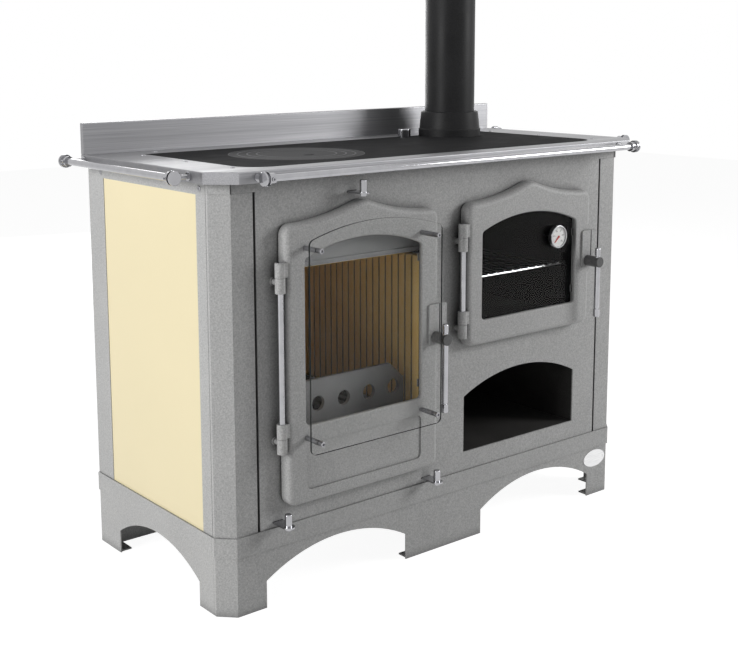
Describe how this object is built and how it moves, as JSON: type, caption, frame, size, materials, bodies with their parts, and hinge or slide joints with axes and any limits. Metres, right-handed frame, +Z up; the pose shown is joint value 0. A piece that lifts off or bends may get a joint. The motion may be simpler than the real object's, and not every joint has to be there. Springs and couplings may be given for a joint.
{
  "type": "wood cookstove",
  "caption": "Freestanding wood-burning cookstove with a glazed fire door, an oven, a log niche, a steel hob and a flue pipe.",
  "frame": {"origin": "centre of the stove's bounding box on the floor", "axes": "+Z up, -Y towards the user in front of the doors, +X to the user's right"},
  "size_m": [1.279, 0.5864, 1.355],
  "materials": {
    "grey_enamel": "fine textured satin",
    "cream_enamel": "gloss enamel",
    "brushed_steel": "brushed along the hob",
    "cast_iron": "dull ground surface",
    "flue_black": "matt heat-proof paint",
    "chrome": "polished",
    "knob_grey": "satin",
    "screw_steel": "turned",
    "plain_steel": "matt dark sheet steel",
    "bare_steel": "heat-dulled grey sheet steel",
    "refractory": "dry buff refractory",
    "oven_enamel": "dark vitreous enamel",
    "rack_wire": "plated wire",
    "clear_glass": "clear ceramic glass",
    "rope_seal": "woven fibre rope",
    "badge_alloy": "satin",
    "dial": "white face in a bright bezel",
    "needle_red": "satin red"
  },
  "bodies": {
    "stove": {"skirt_front": "grey_enamel", "skirt_sides": "grey_enamel", "skirt_rear": "grey_enamel", "base_band": "grey_enamel", "base_tray": "grey_enamel", "corner_post_left": "grey_enamel", "corner_post_right": "grey_enamel", "front_panel": "grey_enamel", "side_frame_left": "grey_enamel", "side_frame_right": "grey_enamel", "back_panel": "grey_enamel", "hinge_brackets": "grey_enamel", "cream_panels": "cream_enamel", "hob_frame": "brushed_steel", "backsplash": "brushed_steel", "hob_plate": "cast_iron", "fire_grate": "cast_iron", "flue_collar": "flue_black", "flue_pipe": "flue_black", "rails": "chrome", "rail_caps": "chrome", "rail_posts": "chrome", "hinge_rods": "chrome", "small_screws": "screw_steel", "top_deck": "plain_steel", "firebox_shell": "plain_steel", "smoke_duct": "plain_steel", "ash_pan": "plain_steel", "wood_store": "plain_steel", "air_deflector": "bare_steel", "log_retainer": "bare_steel", "lining_back": "refractory", "lining_sides": "refractory", "baffle": "refractory", "oven_box": "oven_enamel", "oven_rack": "rack_wire", "oval_plate": "badge_alloy"},
    "fire_door": {"fire_door": "grey_enamel", "fire_door_glass": "clear_glass", "fire_door_seal": "rope_seal", "fire_door_fittings": "grey_enamel", "screen_glass": "clear_glass", "screen_posts": "screw_steel"},
    "fire_handle": {"fire_handle_knob": "knob_grey", "fire_handle_bar": "chrome"},
    "oven_door": {"oven_door": "grey_enamel", "oven_door_glass": "clear_glass", "oven_door_seal": "rope_seal", "oven_door_fittings": "grey_enamel", "thermometer": "dial"},
    "oven_handle": {"oven_handle_knob": "knob_grey", "oven_handle_bar": "chrome"},
    "needle": {"thermometer_needle": "needle_red"},
    "rings": {"hob_rings": "cast_iron"},
    "lid": {"hob_lid": "cast_iron"},
    "damper": {"damper_knob": "chrome", "damper_flap": "plain_steel"},
    "left_air": {"air_slide_left": "chrome"},
    "right_air": {"air_slide_right": "chrome"},
    "top_air": {"air_slide_top": "chrome"}
  },
  "joints": [
    {"name": "fire_door_hinge", "type": "hinge", "parent": "stove", "child": "fire_door", "pos_m": [-0.443, -0.22475, 0.45], "axis": [0, 0, -1], "range_deg": [0, 105]},
    {"name": "oven_door_hinge", "type": "hinge", "parent": "stove", "child": "oven_door", "pos_m": [0.027, -0.22475, 0.58], "axis": [0, 0, -1], "range_deg": [0, 105]},
    {"name": "fire_handle_turn", "type": "hinge", "parent": "fire_door", "child": "fire_handle", "pos_m": [-0.0605, -0.24275, 0.481], "axis": [0, -1, 0], "range_deg": [0, 15]},
    {"name": "oven_handle_turn", "type": "hinge", "parent": "oven_door", "child": "oven_handle", "pos_m": [0.4095, -0.24275, 0.587], "axis": [0, -1, 0], "range_deg": [0, 15]},
    {"name": "thermometer_needle_turn", "type": "hinge", "parent": "oven_door", "child": "needle", "pos_m": [0.31, -0.23675, 0.6516], "axis": [0, 1, 0], "range_deg": [0, 270]},
    {"name": "rings_lift", "type": "slide", "parent": "stove", "child": "rings", "axis": [0, 0, 1], "range_m": [0, 0.06]},
    {"name": "lid_lift", "type": "slide", "parent": "rings", "child": "lid", "axis": [0, 0, 1], "range_m": [0, 0.06]},
    {"name": "damper_turn", "type": "hinge", "parent": "stove", "child": "damper", "pos_m": [0.215, 0.17525, 0.855], "axis": [0, 0, 1], "range_deg": [0, 90]},
    {"name": "left_air_pull", "type": "slide", "parent": "stove", "child": "left_air", "axis": [0, -1, 0], "range_m": [0, 0.028]},
    {"name": "right_air_pull", "type": "slide", "parent": "stove", "child": "right_air", "axis": [0, -1, 0], "range_m": [0, 0.028]},
    {"name": "top_air_pull", "type": "slide", "parent": "stove", "child": "top_air", "axis": [0, -1, 0], "range_m": [0, 0.028]}
  ]
}
